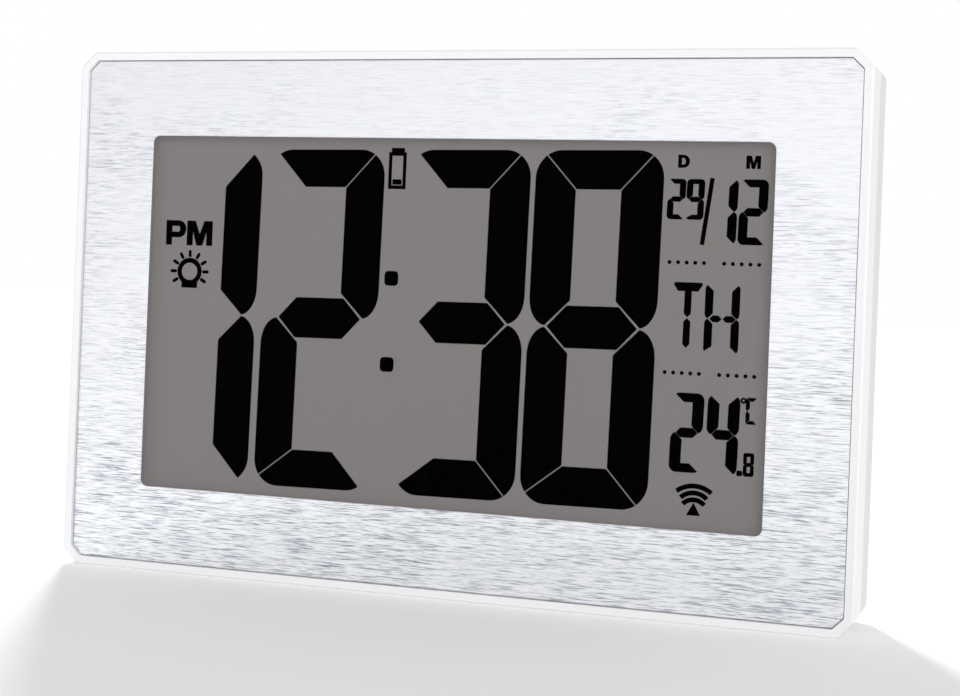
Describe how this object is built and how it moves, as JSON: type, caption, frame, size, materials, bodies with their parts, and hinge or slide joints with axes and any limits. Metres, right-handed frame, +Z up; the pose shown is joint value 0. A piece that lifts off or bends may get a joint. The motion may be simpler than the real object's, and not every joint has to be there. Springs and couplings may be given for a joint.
{
  "type": "digital wall clock",
  "caption": "Flat rectangular clock with a large grey display in a brushed plate, a white case, rear keys, a battery door, a fold-out stand and a keyhole for hanging.",
  "frame": {"origin": "under the middle of the case, on the surface that it stands on", "axes": "+X to the right seen from the front, +Y from the display to the back, +Z up"},
  "size_m": [0.229, 0.03, 0.15],
  "materials": {
    "case_white": "white moulded plastic, satin",
    "brushed_plate": "brushed along its length, anodised",
    "clear_lens": "clear sheet, hard coated",
    "display_face": "matte grey film",
    "display_glass": "polished thin glass",
    "light_plastic": "clear moulded sheet",
    "white_film": "white film",
    "black_foam": "closed-cell foam and adhesive",
    "carrier_plastic": "moulded, matte",
    "board_green": "solder mask over glass fibre",
    "chip_black": "moulded resin",
    "silver_can": "drawn can",
    "bright_steel": "nickel plated",
    "ferrite": "sintered",
    "copper_wire": "enamelled winding",
    "cell_jacket": "plain printed sleeve",
    "lead_black": "soft insulation",
    "key_grey": "moulded, matte"
  },
  "bodies": {
    "housing": {"front_frame": "case_white", "front_plate": "brushed_plate", "plate_tape": "black_foam", "window_lens": "clear_lens", "lcd_gasket": "black_foam", "front_polariser": "display_face", "lcd_front_glass": "display_glass", "lcd_rear_glass": "display_glass", "rear_polariser": "display_face", "light_guide": "light_plastic", "reflector_sheet": "white_film", "led_strip": "board_green", "backlight_leds": "white_film", "lcd_carrier": "carrier_plastic", "carrier_screws": "bright_steel", "zebra_strip": "black_foam", "main_board": "board_green", "board_screws": "bright_steel", "driver_chip": "chip_black", "clock_crystal": "silver_can", "filter_capacitors": "silver_can", "tact_switches": "chip_black", "temperature_sensor": "chip_black", "ferrite_rod": "ferrite", "antenna_coil": "copper_wire", "receiver_board": "board_green", "receiver_chip": "chip_black", "receiver_leads": "lead_black", "rear_cover": "case_white", "case_screws": "bright_steel", "battery_cell_upper": "cell_jacket", "battery_cell_lower": "cell_jacket", "contact_link": "bright_steel", "contact_plus": "bright_steel", "contact_minus": "bright_steel", "battery_leads": "lead_black"},
    "door": {"battery_door": "case_white"},
    "stand": {"stand_leg": "case_white"},
    "set_key": {"set_button": "key_grey"},
    "up_key": {"up_button": "key_grey"},
    "down_key": {"down_button": "key_grey"},
    "light_key": {"light_button": "key_grey"},
    "receive_key": {"receive_button": "key_grey"}
  },
  "joints": [
    {"name": "door_hinge", "type": "hinge", "parent": "housing", "child": "door", "pos_m": [0, 0.0138, 0.0576], "axis": [-1, 0, 0], "range_deg": [0, 90]},
    {"name": "stand_hinge", "type": "hinge", "parent": "housing", "child": "stand", "pos_m": [0, 0.013, 0.04796], "axis": [1, 0, 0], "range_deg": [0, 36]},
    {"name": "set_press", "type": "slide", "parent": "housing", "child": "set_key", "axis": [0, -1, 0], "range_m": [0, 0.0005], "stiffness_N_per_m": 800},
    {"name": "up_press", "type": "slide", "parent": "housing", "child": "up_key", "axis": [0, -1, 0], "range_m": [0, 0.0005], "stiffness_N_per_m": 800},
    {"name": "down_press", "type": "slide", "parent": "housing", "child": "down_key", "axis": [0, -1, 0], "range_m": [0, 0.0005], "stiffness_N_per_m": 800},
    {"name": "light_press", "type": "slide", "parent": "housing", "child": "light_key", "axis": [0, -1, 0], "range_m": [0, 0.0005], "stiffness_N_per_m": 800},
    {"name": "receive_press", "type": "slide", "parent": "housing", "child": "receive_key", "axis": [0, -1, 0], "range_m": [0, 0.0005], "stiffness_N_per_m": 800}
  ]
}
